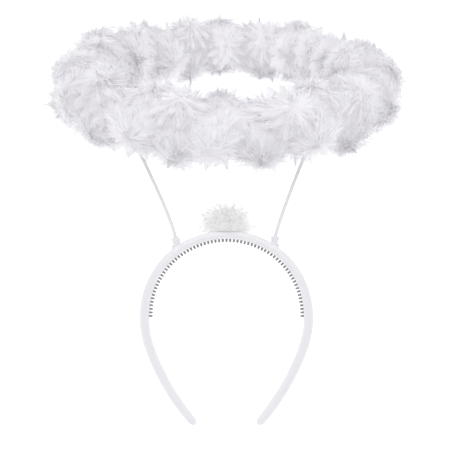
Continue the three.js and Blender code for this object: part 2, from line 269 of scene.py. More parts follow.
def shade_group():
    """Group: colour goes from deep, a touch of painted light at the roots, to full over the
    first part of a barb, and from full to the tip shade, painted shade, over the last part of
    the longest ones, times 1 + own spread * the barb's own number."""
    group = bpy.data.node_groups.new("barb shade", "ShaderNodeTree")
    for key in ("Deep", "Full", "Tip Shade"):
        group.interface.new_socket(key, in_out="INPUT", socket_type="NodeSocketColor")
    group.interface.new_socket("Own", in_out="INPUT", socket_type="NodeSocketFloat")
    group.interface.new_socket("Color", in_out="OUTPUT", socket_type="NodeSocketColor")
    enter, leave = group.nodes.new("NodeGroupInput"), group.nodes.new("NodeGroupOutput")
    along, own = (group.nodes.new("ShaderNodeAttribute") for _ in range(2))
    along.attribute_name, own.attribute_name = "along", "own"
    colour = enter.outputs["Deep"]
    # Deep to full is a touch of painted light at the roots; full to the tip shade is painted
    # shade at the tips.
    for low, high, key in ((0.0, 0.5, "Full"), (0.83, 1.03, "Tip Shade")):
        share, mix = group.nodes.new("ShaderNodeMapRange"), group.nodes.new("ShaderNodeMix")
        share.inputs["From Min"].default_value = low
        share.inputs["From Max"].default_value = high
        mix.data_type = "RGBA"
        link(group, along.outputs["Fac"], share.inputs["Value"])
        link(group, share.outputs["Result"], mix.inputs["Factor"])
        link(group, colour, mix.inputs[6])
        link(group, enter.outputs[key], mix.inputs[7])
        colour = mix.outputs[2]
    scaled = group.nodes.new("ShaderNodeVectorMath")
    scaled.operation = "SCALE"
    link(group, colour, scaled.inputs[0])
    link(group, math_node(group, "MULTIPLY_ADD", own.outputs["Fac"], enter.outputs["Own"], 1.0),
         scaled.inputs["Scale"])
    link(group, scaled.outputs[0], leave.inputs["Color"])
    return group


SHADE = shade_group()


def barbs_of(name, deep, full, tip_shade, own, through, glow):
    """Soft barbs: the shade group's colour on a rough shader, with a share of the light
    passing through. The faint glow is painted light: it stands for light that has bounced about
    inside the down."""
    material, tree, shader = new_material(name)
    shade = tree.nodes.new("ShaderNodeGroup")
    shade.node_tree = SHADE
    for key, colour in (("Deep", deep), ("Full", full), ("Tip Shade", tip_shade)):
        shade.inputs[key].default_value = (*colour, 1)
    shade.inputs["Own"].default_value = own
    shader.inputs["Roughness"].default_value = 0.85
    shader.inputs["Specular IOR Level"].default_value = 0.2
    # The glow is painted light, in the barbs' own colour.
    shader.inputs["Emission Strength"].default_value = glow / (1 - through)
    link(tree, shade.outputs["Color"], shader.inputs["Emission Color"])
    passing = tree.nodes.new("ShaderNodeBsdfTranslucent")
    both = tree.nodes.new("ShaderNodeMixShader")
    both.inputs["Fac"].default_value = through
    link(tree, shade.outputs["Color"], shader.inputs["Base Color"])
    link(tree, shade.outputs["Color"], passing.inputs["Color"])
    link(tree, shader.outputs["BSDF"], both.inputs[1])
    link(tree, passing.outputs["BSDF"], both.inputs[2])
    link(tree, both.outputs["Shader"], tree.nodes["Material Output"].inputs["Surface"])
    return material


def backing(name, dark, light):
    """Dense down under the barbs: clumps of noise in its colour and its height."""
    material, tree, shader = new_material(name)
    place, noise = tree.nodes.new("ShaderNodeTexCoord"), tree.nodes.new("ShaderNodeTexNoise")
    noise.inputs["Scale"].default_value = 400.0
    noise.inputs["Detail"].default_value = 4.0
    ramp, bump = tree.nodes.new("ShaderNodeValToRGB"), tree.nodes.new("ShaderNodeBump")
    ramp.color_ramp.elements[0].color = (*dark, 1)
    ramp.color_ramp.elements[1].color = (*light, 1)
    bump.inputs["Strength"].default_value = 0.6
    bump.inputs["Distance"].default_value = 0.001
    shader.inputs["Roughness"].default_value = 0.9
    link(tree, place.outputs["Object"], noise.inputs["Vector"])
    link(tree, noise.outputs["Fac"], ramp.inputs["Fac"])
    link(tree, ramp.outputs["Color"], shader.inputs["Base Color"])
    link(tree, noise.outputs["Fac"], bump.inputs["Height"])
    link(tree, bump.outputs["Normal"], shader.inputs["Normal"])
    return material


# For each: the first colour is a touch of painted light at the roots, the third colour is painted
# shade at the tips, and the last number is a painted glow.
MARABOU = barbs_of("marabou barbs", (0.99, 0.985, 0.995), (0.975, 0.967, 0.99),
                   (0.42, 0.41, 0.43), 0.03, 0.34, 0.064)
POM = barbs_of("pompom barbs", (0.985, 0.985, 0.985), (0.985, 0.985, 0.985),
               (0.66, 0.66, 0.66), 0.14, 0.4, 0.11)
DOWN = backing("dense down", (0.8, 0.79, 0.82), (0.88, 0.87, 0.9))
POM_DOWN = backing("dense fibres", (0.82, 0.82, 0.82), (0.9, 0.9, 0.9))
print("down:", MARABOU.name, POM.name, DOWN.name, POM_DOWN.name)

# %% [markdown]
# ## The band
#
# The band is one moulded bar. Its line is three arcs on each side, from the crown to the
# tip, and its section is a chunky bar with a flat front and bevels. The section's eight
# corners are rounded with small curves, so the bevels catch the light in soft edges, and
# each end shrinks like a dome to close the bar.

# %% Line of the band
BAND_THICKNESS, BAND_DEPTH = 7.2, 8.0
ARCS = np.array([(59.5, 77.5), (71.0, 31.0), (177.0, 22.0)])  # radius, turn in degrees
TIP_LENGTH = 5.0
TIP_STATIONS, LINE_STATIONS = 9, 221  # rows of points at each tip and along the rest
SECTIONS = np.array([  # along, thick, deep
    (0.0, 0.83, 1.0),
    (0.3, 0.88, 1.0),
    (0.55, 1.0, 1.0),
    (0.85, 0.98, 0.95),
    (1.0, 0.9, 0.85),
])
arc_ends = np.cumsum(ARCS[:, 0] * np.radians(ARCS[:, 1]))
HALF_LINE = arc_ends[-1]
LINE_TOP = -0.5 * BAND_THICKNESS * SECTIONS[0, 1]


def band_line(length):
    """Points and outward directions at lengths from the crown. On each arc the heading
    grows by length / radius, and the point moves by radius * (sin, cos) of the heading."""
    side, left = np.sign(length), np.abs(length)
    heading, x, z = np.zeros_like(left), np.zeros_like(left), np.full_like(left, LINE_TOP)
    for (radius, _), start, end in zip(ARCS, np.r_[0, arc_ends[:-1]], arc_ends):
        reach = end - start if end < HALF_LINE else np.inf
        turned = heading + np.clip(left - start, 0, reach) / radius
        x = x + radius * (np.sin(turned) - np.sin(heading))
        z = z + radius * (np.cos(turned) - np.cos(heading))
        heading = turned
    point = np.stack([side * x, 0 * x, z], axis=-1)
    out = np.stack([side * np.sin(heading), 0 * x, np.cos(heading)], axis=-1)
    return point, out


def band_size(length):
    """Half thickness and half depth at lengths from the crown, read from the sections."""
    along = np.abs(length) / HALF_LINE
    thick = np.interp(along, SECTIONS[:, 0], SECTIONS[:, 1])
    deep = np.interp(along, SECTIONS[:, 0], SECTIONS[:, 2])
    return 0.5 * BAND_THICKNESS * thick, 0.5 * BAND_DEPTH * deep


print(f"band line: {2 * HALF_LINE:.1f} mm from tip to tip")

# %% Bar of the band
FLAT_BACK, FLAT_OUT = 0.42, 0.36  # where the flats end, as shares of half the size
CORNERS = np.array([  # out, back, as shares of half the thickness and half the depth
    (1, FLAT_BACK), (FLAT_OUT, 1), (-FLAT_OUT, 1), (-1, FLAT_BACK),
    (-1, -FLAT_BACK), (-FLAT_OUT, -1), (FLAT_OUT, -1), (1, -FLAT_BACK),
])


def corner_curves(corners, before, after, share, steps):
    """Small curves in place of corners. Each runs from a point short of the corner to a
    point past it: (1-t)^2 a + 2 t (1-t) corner + t^2 b."""
    a = (corners + share * (before - corners))[:, None]
    b = (corners + share * (after - corners))[:, None]
    t = np.linspace(0, 1, steps)[None, :, None]
    curve = (1 - t) ** 2 * a + 2 * t * (1 - t) * corners[:, None] + t ** 2 * b
    return curve.reshape(-1, corners.shape[1])


def band_bar():
    """The bar: each station's point, plus the rounded section times the station's size,
    outwards along the line's normal and backwards along Y."""
    angle = np.linspace(0.05, 1, TIP_STATIONS) * 0.5 * math.pi
    cap = HALF_LINE - TIP_LENGTH + TIP_LENGTH * np.cos(angle)
    middle = np.linspace(-1, 1, LINE_STATIONS)[1:-1] * (HALF_LINE - TIP_LENGTH)
    length = np.r_[-cap, middle, cap[::-1]]
    size = np.r_[np.sin(angle), np.ones(len(middle)), np.sin(angle[::-1])]
    point, out = band_line(length)
    thick, deep = band_size(length)
    section = corner_curves(CORNERS, np.roll(CORNERS, 1, axis=0), np.roll(CORNERS, -1, axis=0),
                            share=0.3, steps=5)
    grid = point[:, None] + ((size * thick)[:, None] * section[:, 0])[..., None] * out[:, None]
    grid[..., 1] += (size * deep)[:, None] * section[:, 1]
    return tube(grid)


bar = band_bar()
print(f"crown to tips: {np.ptp(bar[0][:, 2]):.1f} mm, width {np.ptp(bar[0][:, 0]):.1f} mm")

# %% [markdown]
# ## Sockets for the stems
#
# Each stem stands in a small cup on top of the band. The cup is a turned shape: a
# profile that starts and ends on its axis, widening to a rim and going down into the
# bore. A soft fillet spreads from its foot over the band, as moulded parts have one to
# let the plastic flow.

# %% Sockets
SOCKET_PLACE, SOCKET_HEIGHT = 36.7, 9.2
SOCKET_TOP, SOCKET_FOOT, BORE_DEPTH = 6.3, 4.7, 6.5
SOCKET_SINK, ON_AXIS = 1.8, 0.05
COLLAR_SPREAD, COLLAR_RISE, COLLAR_TUCK, COLLAR_DIVES = 1.35, 1.5, 0.15, (0.5, 0.6)
STEM_WIDTH, GAP = 2.5, 0.3
STEMS = {  # side, place, lean, turn, arrive, rise, settle
    "left": (-1, 1.025, 9, 44, 26.5, 0.12, 0.52),
    "right": (1, 0.973, 10, 39, 28, 0.1, 0.34),
}


def circle(count):
    """Cosines and sines of angles all round."""
    angle = 2 * math.pi * np.arange(count) / count
    return np.cos(angle)[:, None], np.sin(angle)[:, None]


def socket_axis(stem):
    """Foot on the band's line, and the axis, which leans to the side by the lean angle."""
    side, place, lean = STEMS[stem][:3]
    foot = band_line(np.array([side * place * SOCKET_PLACE]))[0][0]
    lean = math.radians(lean)
    return foot, np.array([side * math.sin(lean), 0, math.cos(lean)])


def socket(stem):
    """The cup: its profile of radius and height carried round the axis, as foot +
    height * axis + radius * (cos * side + sin * back)."""
    foot, axis = socket_axis(stem)
    rim, root, bore = 0.5 * SOCKET_TOP, 0.5 * SOCKET_FOOT, 0.5 * STEM_WIDTH + GAP + 0.05
    top = SOCKET_HEIGHT
    corners = np.array([
        (ON_AXIS, -SOCKET_SINK), (root, -SOCKET_SINK), (root, 0.3 * top), (rim - 0.35, top - 1.6),
        (rim, top - 1.1), (rim, top - 0.35), (rim - 0.4, top), (bore + 0.1, top),
        (bore, top - 0.3), (bore, top - BORE_DEPTH), (ON_AXIS, top - BORE_DEPTH)])
    curves = corner_curves(corners[1:-1], corners[:-2], corners[2:], share=0.38, steps=5)
    profile = np.vstack([corners[:1], curves, corners[-1:]])
    c, s = circle(40)
    spoke = c * np.cross([0, 1, 0], axis) + s * [0, 1, 0]
    radius, height = profile.T[..., None, None]
    return tube(foot + height * axis + radius * spoke)


def fillet(stem):
    """Collar at a socket's foot. At each angle it runs from s = 0 at the wall to s = 1 out
    on the band, at the band's face plus rise * (1 - s)^2.2, and dives in at both ends. The
    face falls from its flat to the bevel's edge."""
    foot, axis = socket_axis(stem)
    c, s = circle(48)
    share = np.r_[-0.25, np.linspace(0, 1, 10), 1.15][:, None, None]
    radius = 0.5 * SOCKET_FOOT - COLLAR_TUCK + COLLAR_SPREAD * np.clip(share, 0, None)
    flat = foot + radius * (c * np.cross([0, 1, 0], axis) + s * [0, 1, 0])
    centre = np.array([0, 0, LINE_TOP - ARCS[0, 0]])
    ray = (flat - centre) * [1, 0, 1]
    ray /= np.linalg.norm(ray, axis=-1, keepdims=True)
    slope = np.clip((2 * np.abs(flat[..., 1:2]) / BAND_DEPTH - FLAT_BACK) / (1 - FLAT_BACK), 0, 1)
    face = ARCS[0, 0] + band_size(SOCKET_PLACE)[0] * (1 - (1 - FLAT_OUT) * slope)
    rise = (COLLAR_RISE * (1 - np.clip(share, 0, 1)) ** 2.2
            - COLLAR_DIVES[0] * (share < 0) - COLLAR_DIVES[1] * (share > 1))
    return tube(centre + ray * (face + rise) + flat * [0, 1, 0])


sockets = [shape(stem) for stem in STEMS for shape in (socket, fillet)]

# %% [markdown]
# ## Comb teeth
#
# Small pins along the inside of the band keep it in the hair. One pin is a short tube
# with a rounded tip. The same rows and columns are used for all the pins at once, so a
# single array holds the whole comb.

# %% Comb
TOOTH_PITCH, TOOTH_LENGTH, TOOTH_SPAN = 2.85, 2.6, 96.0
TOOTH_ROOT, TOOTH_TIP, TOOTH_SINK = 1.9, 1.5, 1.2
NECK_DEPTH, NECK_TAPER = 0.6, 0.06


def comb():
    """All pins: root point - depth * out + radius * (cos * along + sin * back), where the
    radius tapers and ends in a quarter circle."""
    half = int(TOOTH_SPAN / TOOTH_PITCH)
    length = TOOTH_PITCH * np.arange(-half, half + 1)
    point, out = band_line(length)
    thick, _ = band_size(length)
    dome = np.linspace(0, 1, 6)[1:] * 0.5 * math.pi
    root, tip = 0.5 * TOOTH_ROOT, 0.5 * TOOTH_TIP
    straight = TOOTH_LENGTH - tip
    depth = np.r_[-TOOTH_SINK, 0.0, NECK_DEPTH, straight, straight + tip * np.sin(dome)]
    radius = np.r_[root, root, root - NECK_TAPER, tip, tip * np.cos(dome) + 0.02]
    along = np.stack([out[:, 2], 0 * length, -out[:, 0]], axis=-1)
    c, s = circle(12)
    spoke = c * along[:, None] + s * [0, 1, 0]
    axis = (point - thick[:, None] * out)[:, None] - depth[:, None] * out[:, None]
    return tube(axis[:, :, None] + radius[:, None, None] * spoke[:, None])


points, faces = joined(bar, *sockets)
new_piece("band", lay_down(points), faces, BAND_PLASTIC, ["headband"])
# The pins wear the dark grey plastic, which is painted shade.
points, faces = comb()
new_piece("comb_teeth", lay_down(points), faces, SHADED_TOOTH_PLASTIC, ["headband"])

# %% [markdown]
# ## The halo's line and the stems
#
# The halo's line is a circle behind and above the crown, with its back raised a little.
# Each stem starts straight in its bore and then bows out to the circle along a cubic
# curve. A circle carried along that path, with a frame that doesn't twist, is the rod.

# %% Halo's line and stems
STEM_STATIONS, PAST_RING = 90, 2.4


def halo_point(turn, angle, reach):
    """Point of the halo: turn from its front, angle round its section and reach from its
    line, as (out sin turn, -out cos turn, reach sin angle), where out is the radius plus
    reach cos angle, tilted about X and moved to the halo's centre."""
    out = HALO_RADIUS + reach * np.cos(angle)
    flat = np.stack([out * np.sin(turn), -out * np.cos(turn), reach * np.sin(angle)], axis=-1)
    return flat @ turn_about_x(HALO_TILT).T + HALO_CENTRE


def stem_rod(stem):
    """Rod: points of the path plus radius * (cos * side + sin * back) round it. The path is
    a line up the bore, then the cubic curve from four points: (1-t)^3 a + 3 t (1-t)^2 b +
    3 t^2 (1-t) c + t^3 d."""
    side, _, _, turn, arrive, rise, settle = STEMS[stem]
    foot, axis = socket_axis(stem)
    top = foot + SOCKET_HEIGHT * axis
    end = halo_point(side * math.radians(turn), 0.0, 0.0)
    arrive = math.radians(arrive)
    arrival = np.array([side * math.sin(arrive), 0, math.cos(arrive)])
    reach = np.linalg.norm(top - end)
    corners = np.array([top, top + rise * reach * axis, end - settle * reach * arrival,
                        end - PAST_RING * arrival])
    t = np.linspace(0, 1, STEM_STATIONS)[:, None]
    weights = np.hstack([(1 - t) ** 3, 3 * t * (1 - t) ** 2, 3 * t ** 2 * (1 - t), t ** 3])
    bore = top + axis * np.linspace(GAP - BORE_DEPTH, 0, 6)[:-1, None]
    path = np.vstack([bore, weights @ corners])
    ahead = np.gradient(path, axis=0)
    ahead /= np.linalg.norm(ahead, axis=1, keepdims=True)
    back = np.cross(ahead, [1.0, 0, 0])
    back /= np.linalg.norm(back, axis=1, keepdims=True)
    c, s = circle(20)
    spoke = c * np.cross(back, ahead)[:, None] + s * back[:, None]
    return tube(path[:, None] + 0.5 * STEM_WIDTH * spoke)


for stem in STEMS:
    points, faces = stem_rod(stem)
    new_piece(f"{stem}_stem", lay_down(points), faces, STEM_PLASTIC,
              [f"stem_{stem}"])
halo_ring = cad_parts["halo_ring"]
halo_ring.data.materials.clear()
halo_ring.data.materials.append(STEM_PLASTIC)

# %% [markdown]
# ## Marabou
#
# Marabou trim is a cord of little feathers, so its down stands in puffs, and in each puff
# the barbs fan out from its middle. Their tips draw together in pointed locks. A hair
# system could grow it, but arrays give full say over where each barb starts, how it
# bends and in which lock it ends. A barb is a ribbon of five triangles that tapers to a
# point, and its normals are turned towards the outside of the halo, which makes the down
# take light softly, as a whole.

# %% Puffs and locks
FUR_TIP, FUR_VALLEY, SWELL = 32.0, 21.0, 0.1  # reach of tips and valleys, fall off a puff
PUFFS_ROUND, PUFFS_ACROSS = 22, 3
PUFF_PITCH, PUFF_SPAN = 2 * math.pi / PUFFS_ROUND, 2 * math.pi / PUFFS_ACROSS
PUFF_SCATTER = (0.3, 0.2, 0.06)  # of its turn, angle and size
LOCKS_ROUND, LOCKS_ACROSS = 108, 20
LOCK_SCATTER = 0.05
FULLNESS = np.array([  # turn in degrees, share
    (0, 0.97), (60, 1.02), (100, 0.95), (140, 0.97), (165, 0.96), (180, 0.92),
    (205, 0.98), (240, 1.1), (262, 1.04), (285, 1.0), (360, 0.97),
])
MORE_AT_ENDS, LESS_UNDER_BACK, LESS_ON_FRONT = 0.15, 0.13, 0.07


def scatter(i, j):
    """Even scatter between -1 and 1 from two whole numbers: the fraction of a large sine."""
    wave = np.sin(i * 12.9898 + j * 78.233) * 43758.5453
    return 2 * (wave - np.floor(wave)) - 1


def puff_middle(i, j):
    """Turn, angle and size of the puff with number i round the halo and j across it: its
    place in the grid plus a scatter, where every second i is half a puff further across."""
    puff = i % PUFFS_ROUND
    turn = (i + PUFF_SCATTER[0] * scatter(puff, j)) * PUFF_PITCH
    angle = (j + 0.5 * (puff % 2) + PUFF_SCATTER[1] * scatter(j, puff)) * PUFF_SPAN
    return turn, angle, 1 + PUFF_SCATTER[2] * scatter(puff + 7, j + 3)


def nearest_puff(turn, angle):
    """For places on the halo: offsets in turn and angle from the nearest puff's middle, how
    far off that is in half puffs, and the puff's size."""
    near = np.round(turn / PUFF_PITCH)[:, None] + np.repeat([-1, 0, 1], PUFFS_ACROSS)
    j = np.tile(np.arange(PUFFS_ACROSS), 3)[None, :]
    middle_turn, middle_angle, size = puff_middle(near, j)
    d_turn = turn[:, None] - middle_turn
    d_angle = (angle[:, None] - middle_angle + math.pi) % (2 * math.pi) - math.pi
    off = np.hypot(2 * d_turn / PUFF_PITCH, 2 * d_angle / PUFF_SPAN)
    best = np.arange(len(turn)), off.argmin(1)
    return d_turn[best], d_angle[best], off[best], size[best]


def fullness(turn, angle):
    """Fullness of the fluff: a share for the turn from the halo's front, which grows where
    the two ends face the hole and shrinks under the back and on top of the front."""
    ends = np.clip(-np.cos(angle), 0, 1) * np.sin(turn) ** 2
    back = np.clip(-np.cos(turn), 0, 1) * np.clip(-np.sin(angle), 0, 1)
    front = np.clip(np.cos(turn), 0, 1) * np.clip(np.sin(angle), 0, 1)
    return (np.interp(np.degrees(turn) % 360, *FULLNESS.T)
            * (1 + MORE_AT_ENDS * ends - LESS_UNDER_BACK * back - LESS_ON_FRONT * front))


def locks():
    """Tips of all the locks, at every second crossing of the grid, with the offsets from
    their puff's middle. The reach falls with the square of how far off that is."""
    column, row = np.divmod(np.arange(LOCKS_ROUND * LOCKS_ACROSS), LOCKS_ACROSS)
    column, row = (values[(column + row) % 2 == 1] for values in (column, row))
    turn = 2 * math.pi * column / LOCKS_ROUND
    angle = -2 * math.pi * row / LOCKS_ACROSS
    d_turn, d_angle, off, size = nearest_puff(turn, angle)
    own = 1 - LOCK_SCATTER + LOCK_SCATTER * scatter(column, row + 50)
    reach = FUR_TIP * fullness(turn, angle) * (1 - SWELL * np.minimum(off, 1.3) ** 2) * own * size
    return turn, angle, d_turn, d_angle, off, reach


lock_turn, lock_angle, lock_d_turn, lock_d_angle, lock_off, lock_reach = locks()
print(f"{len(lock_turn)} locks in {PUFFS_ROUND * PUFFS_ACROSS} puffs")

# %% Ribbons
STATIONS = np.array([0, 0.36, 0.7, 1])  # t at the points of a barb
TAPER = (0.9, 0.6)  # width at the first and the last pair of edges
FLOOR_GAP = 0.3
OWN_FACING, LIGHTWARD = 0.2, np.array([0, -0.4, 0.3])  # what bends the normals


def bend(root, knee, tip):
    """Points of each curve (1-t)^2 root + 2 t (1-t) knee + t^2 tip at the stations' t."""
    t = STATIONS[None, :, None]
    root, knee, tip = root[:, None], knee[:, None], tip[:, None]
    return (1 - t) ** 2 * root + 2 * t * (1 - t) * knee + t ** 2 * tip


def ribbons(path, outside, width, twist):
    """Tapered ribbons along curves: each point but the last carries two edges, at plus and
    minus half the width to the side, and the last is the tip. The side is square to the
    curve and turned about it by the twist."""
    pairs = path.shape[1] - 1
    ahead = np.gradient(path, axis=1)
    ahead /= np.linalg.norm(ahead, axis=-1, keepdims=True)
    flat = np.cross(ahead, outside[:, None])
    flat /= np.linalg.norm(flat, axis=-1, keepdims=True) + 1e-9
    raised = np.cross(flat, ahead)
    side = np.cos(twist)[:, None, None] * flat + np.sin(twist)[:, None, None] * raised
    taper = np.linspace(*TAPER, pairs)[None, :, None]
    half = 0.5 * width[:, None, None] * taper * side[:, :pairs]
    points = np.concatenate([path[:, :pairs] - half, path[:, :pairs] + half, path[:, pairs:]],
                            axis=1)
    i = np.arange(pairs - 1)
    each = np.vstack([np.stack([i, i + pairs, i + pairs + 1], axis=-1),
                      np.stack([i, i + pairs + 1, i + 1], axis=-1),
                      [(pairs - 1, 2 * pairs - 1, 2 * pairs)]])
    numbers = each + (2 * pairs + 1) * np.arange(len(path))[:, None, None]
    return points.reshape(-1, 3), numbers.reshape(-1, 3)


def barb_mesh(root, knee, tip, outside, width, twist, size, own):
    """Ribbons along curves with their numbers: points, faces, the way out, how far along
    in shares of the longest barbs, and each barb's own shade."""
    points, faces = ribbons(bend(root, knee, tip), outside, width, twist)
    along = np.r_[STATIONS[:-1], STATIONS]
    each = len(along)
    return (points, faces, np.repeat(outside, each, axis=0), (size[:, None] * along).ravel(),
            np.repeat(own, each))


def grow(name, barbs, material, replaces):
    """One mesh of all the barbs, above the floor. Its normals are own facing * the ribbons'
    normals + the way out + a lean to where most light comes from, as light spreads in down."""
    points, faces = joined(*[part[:2] for part in barbs])
    outside, along, own = (np.concatenate(values) for values in list(zip(*barbs))[2:])
    placed = lay_down(points)
    placed[:, 2] = np.maximum(placed[:, 2], FLOOR_GAP * MM)
    piece = new_piece(name, placed, faces, material, replaces,
                      {"along": along, "own": own})
    facing = np.empty(3 * len(points), np.float32)
    piece.data.vertex_normals.foreach_get("vector", facing)
    lean = OWN_FACING * facing.reshape(-1, 3) + (outside + LIGHTWARD) @ REST.T
    lean /= np.linalg.norm(lean, axis=1, keepdims=True)
    piece.data.normals_split_custom_set_from_vertices(lean.tolist())


# %% [markdown]
# Each lock splits into wisps: a long one that ends in a fine point, and shorter, looser
# ones that fill the ground between. Most of their barbs start near the middle of the
# puff, so they all comb outwards from it. On top come the long barbs of each feather,
# which lie over the puff like the rays of a star.

# %% Marabou barbs
WISPS, WISP_SPREAD = 5, 2.7  # of a lock, and how far off its line they stand
LONG_WISP = {"least": 0.97, "more": 0.15, "dense": 2.0, "loose": 0.2, "barbs": 36}
SHORT_WISP = {"least": 0.77, "more": 0.14, "dense": 1.0, "loose": 0.7, "barbs": 22}
FROM_MIDDLE, NEAR_MIDDLE, NEAR_TIP = 0.7, (0.55, 1.0), (0.0, 0.4)  # share and both pulls
SHORTENING, SPREAD_PER_SHORTENING, PAST_LOCK = 0.38, 6.0, 0.12
STRAYS, STRAY_SPREAD, STRAY_MORE, STRAY_WIDTH = 0.05, 2.5, 0.2, 0.65  # loose single barbs
ROOT_SPREAD, KNEE_SPREAD = (2.0, 2.4), 0.7
BARB_WIDTH, RAY_WIDTH = (0.3, 0.65), (0.3, 0.6)  # least and most
RAYS_PER_PUFF, RAY_LENGTH, RAY_ROUNDNESS = 260, (0.35, 1.15), 0.75  # in half puffs
RAY_SPREAD, RAY_BOW, RAY_ALONG = 2.2, 0.09, 0.8
CORE_MIDDLE, CORE_FALL = 0.78, 0.16  # in shares of the fluff's reach


def core_reach(turn, angle, off):
    """Reach of the dense core under the barbs: highest in the middle of a puff, and lower
    with the square of how far off that is."""
    share = CORE_MIDDLE - CORE_FALL * np.minimum(off, 1.1) ** 2
    return FUR_TIP * fullness(turn, angle) * share


def normal(n, size):
    """n random values on a bell curve, as wide as size."""
    return size * rng.normal(size=n)


def wisps(lock):
    """The wisps of some locks, and how many barbs each has. The first wisp of a lock ends at
    its tip, at least + more * random of its reach. The others stand round it and are
    shorter. dense is the power that keeps the barbs long, and loose their spread."""
    wisp = np.repeat(lock, WISPS)
    long = np.arange(len(wisp)) % WISPS == 0
    aside, up = np.where(long, 0, normal((2, len(wisp)), WISP_SPREAD))
    least, more, dense, loose, count = (np.where(long, LONG_WISP[key], SHORT_WISP[key])
                                        for key in LONG_WISP)
    reach = lock_reach[wisp] * (least + more * rng.random(len(wisp)))
    return (lock_turn[wisp] + aside / HALO_RADIUS, lock_angle[wisp] + up / FUR_TIP,
            lock_d_turn[wisp], lock_d_angle[wisp], lock_off[wisp], reach,
            reach / lock_reach[wisp], dense, loose), count


def fill_barbs(lock):
    """The barbs of some locks. A root lies between the wisp and its puff's middle, the knee
    is further up and along, and the tip is at length * the wisp's reach, where length = 1 -
    shortening * random^dense. It is off the wisp's line by loose + spread * (1 - length)."""
    values, counts = wisps(lock)
    turn, angle, d_turn, d_angle, off, reach, size, dense, loose = (np.repeat(v, counts)
                                                                    for v in values)
    n = len(turn)
    pull = np.where(rng.random(n) < FROM_MIDDLE, rng.uniform(*NEAR_MIDDLE, n),
                    rng.uniform(*NEAR_TIP, n))
    length = 1 - SHORTENING * rng.random(n) ** dense
    stray = rng.random(n) < STRAYS
    spread = np.where(stray, STRAY_SPREAD, loose + SPREAD_PER_SHORTENING * (1 - length))
    length += stray * rng.uniform(0, STRAY_MORE, n)
    root_turn = turn - pull * d_turn + normal(n, ROOT_SPREAD[0]) / HALO_RADIUS
    root_angle = angle - pull * d_angle + normal(n, ROOT_SPREAD[1]) / FUR_VALLEY
    tip_turn = turn + PAST_LOCK * d_turn + normal(n, spread) / HALO_RADIUS
    tip_angle = angle + PAST_LOCK * d_angle + normal(n, spread) / FUR_TIP
    root_reach = core_reach(turn, angle, off * (1 - pull)) - 1 - rng.random(n)
    knee = rng.uniform(0.4, 0.8, n)
    knee_reach = root_reach + rng.uniform(0.35, 0.95, n) * (reach * length - root_reach)
    knee_turn = root_turn + knee * (tip_turn - root_turn) + normal(n, KNEE_SPREAD) / HALO_RADIUS
    knee_angle = root_angle + knee * (tip_angle - root_angle) + normal(n, KNEE_SPREAD) / FUR_TIP
    outside = halo_point(tip_turn, tip_angle, 1.0) - halo_point(tip_turn, tip_angle, 0.0)
    width = rng.uniform(*BARB_WIDTH, n) * np.where(stray, STRAY_WIDTH, 1)
    return barb_mesh(halo_point(root_turn, root_angle, root_reach),
                     halo_point(knee_turn, knee_angle, knee_reach),
                     halo_point(tip_turn, tip_angle, reach * length), outside, width,
                     rng.uniform(-0.8, 0.8, n), size * length, rng.uniform(-1, 1, n))


def ray_barbs(low, high, count):
    """count rays for each puff whose number round the halo is from low to high. A ray goes
    off from the puff's middle in any direction, for a random share of half the puff's size,
    and ends a little under the tips of the locks. Its knee is halfway, and bowed aside."""
    turn, angle, size = (np.repeat(values.ravel(), count) for values in
                         puff_middle(*np.mgrid[low:high, 0:PUFFS_ACROSS]))
    n = len(turn)
    way, far = rng.uniform(0, 2 * math.pi, n), rng.uniform(*RAY_LENGTH, n)
    to_turn = 0.5 * PUFF_PITCH * far * np.cos(way)
    to_angle = 0.5 * PUFF_SPAN * far * np.sin(way) * RAY_ROUNDNESS
    top = FUR_TIP * fullness(turn, angle) * size
    tip_reach = top * (1.0 - SWELL * far ** 2) * rng.uniform(0.88, 1.06, n)
    turn = turn + normal(n, RAY_SPREAD) / HALO_RADIUS
    angle = angle + normal(n, RAY_SPREAD) / FUR_TIP
    knee_reach = 0.5 * (0.86 * top + tip_reach) * rng.uniform(0.99, 1.1, n)
    tip = halo_point(turn + to_turn, angle + to_angle, tip_reach)
    outside = tip - halo_point(turn + to_turn, angle + to_angle, tip_reach - 1)
    bow = normal(n, RAY_BOW)
    knee = halo_point(turn + (0.5 + bow) * to_turn, angle + (0.5 - bow) * to_angle, knee_reach)
    return barb_mesh(halo_point(turn, angle, 0.8 * top), knee, tip, outside,
                     rng.uniform(*RAY_WIDTH, n), rng.uniform(-0.5, 0.5, n),
                     np.full(n, RAY_ALONG), rng.uniform(0.2, 1.2, n))


SECTORS = 4
sector = (lock_turn // (2 * math.pi / SECTORS)).astype(int)
puff_ends = np.linspace(0, PUFFS_ROUND, SECTORS + 1).round().astype(int)
for i in range(SECTORS):
    grow(f"marabou_{i + 1}", [fill_barbs(np.flatnonzero(sector == i)),
                              ray_barbs(puff_ends[i], puff_ends[i + 1], RAYS_PER_PUFF)],
         MARABOU, ["marabou"])

# %% Core of the marabou
CORE_ROWS, CORE_COLUMNS = 360, 60


def core(rows, columns):
    """The dense core: a ring of sections at the core's reach. It is closed on itself, so its
    last row joins its first."""
    turn = np.repeat(2 * math.pi * np.arange(rows) / rows, columns)
    angle = np.tile(2 * math.pi * np.arange(columns) / columns, rows)
    _, _, off, _ = nearest_puff(turn, angle)
    points = halo_point(turn, angle, core_reach(turn, angle, off))
    row, column = np.arange(rows)[:, None], np.arange(columns)
    below, beside = (row + 1) % rows, (column + 1) % columns
    a, b = row * columns + column, row * columns + beside
    d, c = below * columns + column, below * columns + beside
    return points, outward(points - HALO_CENTRE,
                           np.stack([a, b, c, a, c, d], axis=-1).reshape(-1, 3))


points, faces = core(CORE_ROWS, CORE_COLUMNS)
new_piece("marabou_core", lay_down(points), faces, DOWN, ["marabou"])

# %% [markdown]
# ## Pompom
#
# The pompom is a dense half ball of short fibres, pressed on the band's top. It is made
# like the marabou: a backing that fills it, and ribbons that start inside it and end in a
# rough, spiky outline. Whatever would reach into the band is pushed out to its face.

